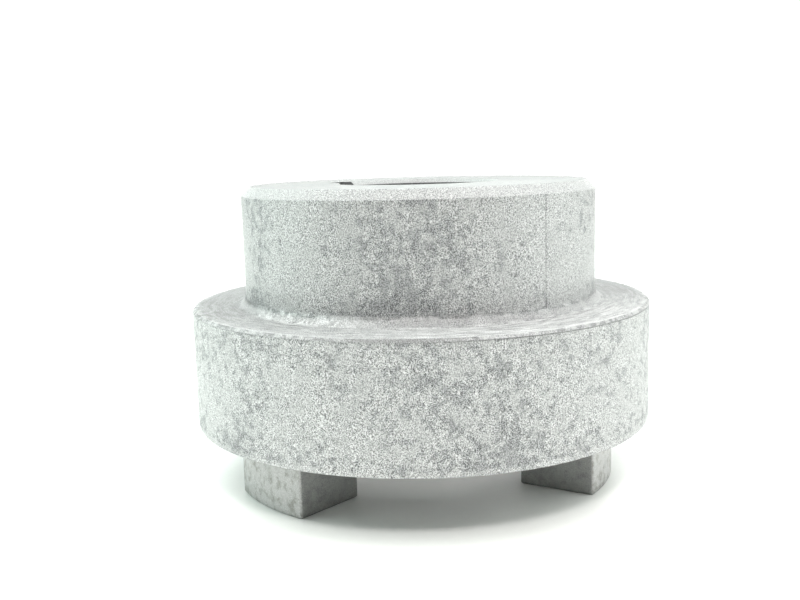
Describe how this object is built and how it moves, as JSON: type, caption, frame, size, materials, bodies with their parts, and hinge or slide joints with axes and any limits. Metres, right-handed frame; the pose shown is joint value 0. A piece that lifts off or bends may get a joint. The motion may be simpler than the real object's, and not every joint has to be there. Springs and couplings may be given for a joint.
{
  "type": "jaw coupling hub",
  "caption": "Jaw coupling hub: a chamfered barrel on a wider flange with driving jaws below it, a through bore with a keyway, and set screws that grip the shaft and its key.",
  "frame": {"origin": "centre of the plane through the jaw tips, on the bore's axis", "axes": "+Z along the bore, from the jaws to the barrel's free end; +Y through the keyway, which lies in the middle of the gap between two jaws; +X through the side set screw"},
  "size_m": [0.0936, 0.0936, 0.06],
  "materials": {
    "hub_alloy": "machined light alloy, mottled with grey oxide stains, bright along its chamfers",
    "screw_steel": "black oxide alloy steel, lightly oiled"
  },
  "bodies": {
    "hub": {"hub": "hub_alloy"},
    "key_set_screw": {"key_set_screw": "screw_steel"},
    "side_set_screw": {"side_set_screw": "screw_steel"}
  },
  "joints": [
    {"name": "key_screw_travel", "type": "slide", "parent": "hub", "child": "key_set_screw", "axis": [0, 1, 0], "range_m": [-0.003, 0.015]},
    {"name": "side_screw_travel", "type": "slide", "parent": "hub", "child": "side_set_screw", "axis": [1, 0, 0], "range_m": [-0.003, 0.017]}
  ]
}
